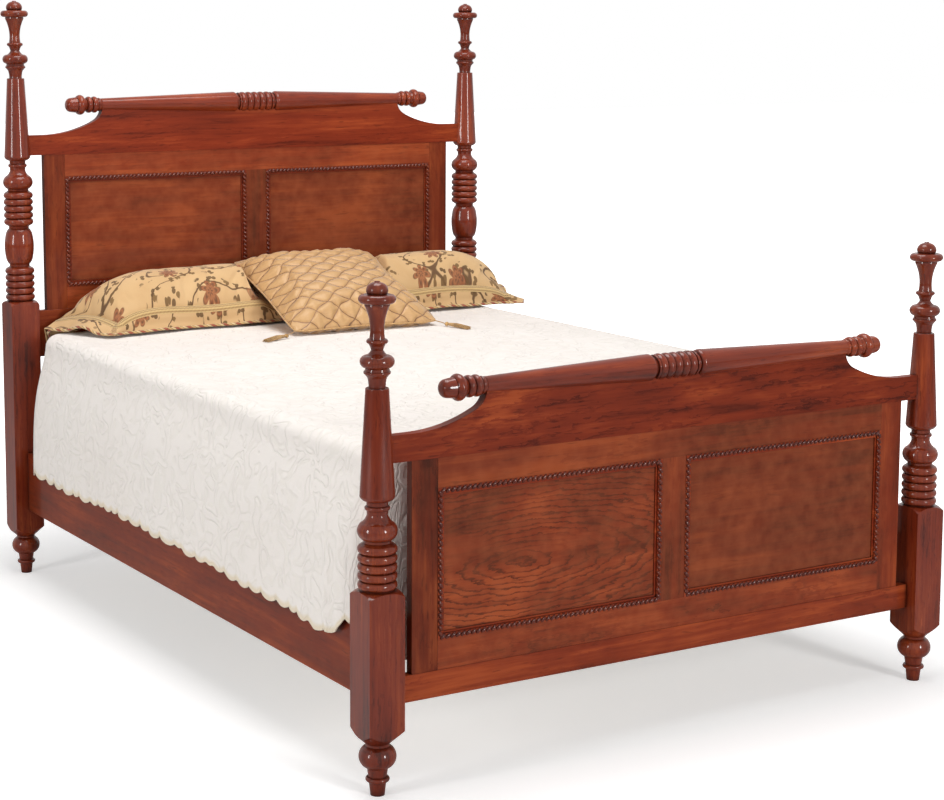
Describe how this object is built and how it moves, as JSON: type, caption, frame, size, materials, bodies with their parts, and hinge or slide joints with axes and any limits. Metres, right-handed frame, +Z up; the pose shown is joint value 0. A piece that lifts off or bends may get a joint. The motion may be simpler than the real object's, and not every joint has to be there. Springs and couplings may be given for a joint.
{
  "type": "four-post bed",
  "caption": "Queen-size wooden four-post bed with turned posts, panelled headboard and footboard, blanket rolls and made-up bedding.",
  "frame": {"origin": "on the floor, under the middle of the bed", "axes": "+Z up, +Y from the foot towards the head, +X to the right seen from the foot"},
  "size_m": [1.6888, 2.261, 1.7527],
  "materials": {
    "cherry_wood": "semi-gloss lacquer",
    "slat_wood": "planed, unfinished",
    "steel_hardware": "zinc plated",
    "ticking": "matt woven",
    "bedspread_cloth": "quilted cotton",
    "sham_tapestry": "woven tapestry",
    "cushion_silk": "pintucked silk",
    "tassel_yarn": "twisted yarn"
  },
  "bodies": {
    "root": {"bedspread": "bedspread_cloth", "box_spring": "ticking", "catch_plates": "steel_hardware", "cleat_screws": "steel_hardware", "cushion_tassel_left": "tassel_yarn", "cushion_tassel_right": "tassel_yarn", "foot_blanket_roll": "cherry_wood", "foot_centre_stile": "cherry_wood", "foot_crest_rail": "cherry_wood", "foot_finial_left": "cherry_wood", "foot_finial_right": "cherry_wood", "foot_frame_bottom_rail": "cherry_wood", "foot_frame_top_rail": "cherry_wood", "foot_lower_rail": "cherry_wood", "foot_panel_left": "cherry_wood", "foot_panel_right": "cherry_wood", "foot_post_left": "cherry_wood", "foot_post_right": "cherry_wood", "foot_rope_moulding_left": "cherry_wood", "foot_rope_moulding_right": "cherry_wood", "foot_stile_left": "cherry_wood", "foot_stile_right": "cherry_wood", "head_blanket_roll": "cherry_wood", "head_centre_stile": "cherry_wood", "head_crest_rail": "cherry_wood", "head_finial_left": "cherry_wood", "head_finial_right": "cherry_wood", "head_frame_bottom_rail": "cherry_wood", "head_frame_top_rail": "cherry_wood", "head_lower_rail": "cherry_wood", "head_panel_left": "cherry_wood", "head_panel_right": "cherry_wood", "head_post_left": "cherry_wood", "head_post_right": "cherry_wood", "head_rope_moulding_left": "cherry_wood", "head_rope_moulding_right": "cherry_wood", "head_stile_left": "cherry_wood", "head_stile_right": "cherry_wood", "mattress": "ticking", "pillow_sham_left": "sham_tapestry", "pillow_sham_right": "sham_tapestry", "plate_screws": "steel_hardware", "rail_hooks": "steel_hardware", "side_rail_left": "cherry_wood", "side_rail_right": "cherry_wood", "slat_cleat_left": "slat_wood", "slat_cleat_right": "slat_wood", "slat_legs": "slat_wood", "slats": "slat_wood", "square_cushion": "cushion_silk"}
  },
  "joints": []
}
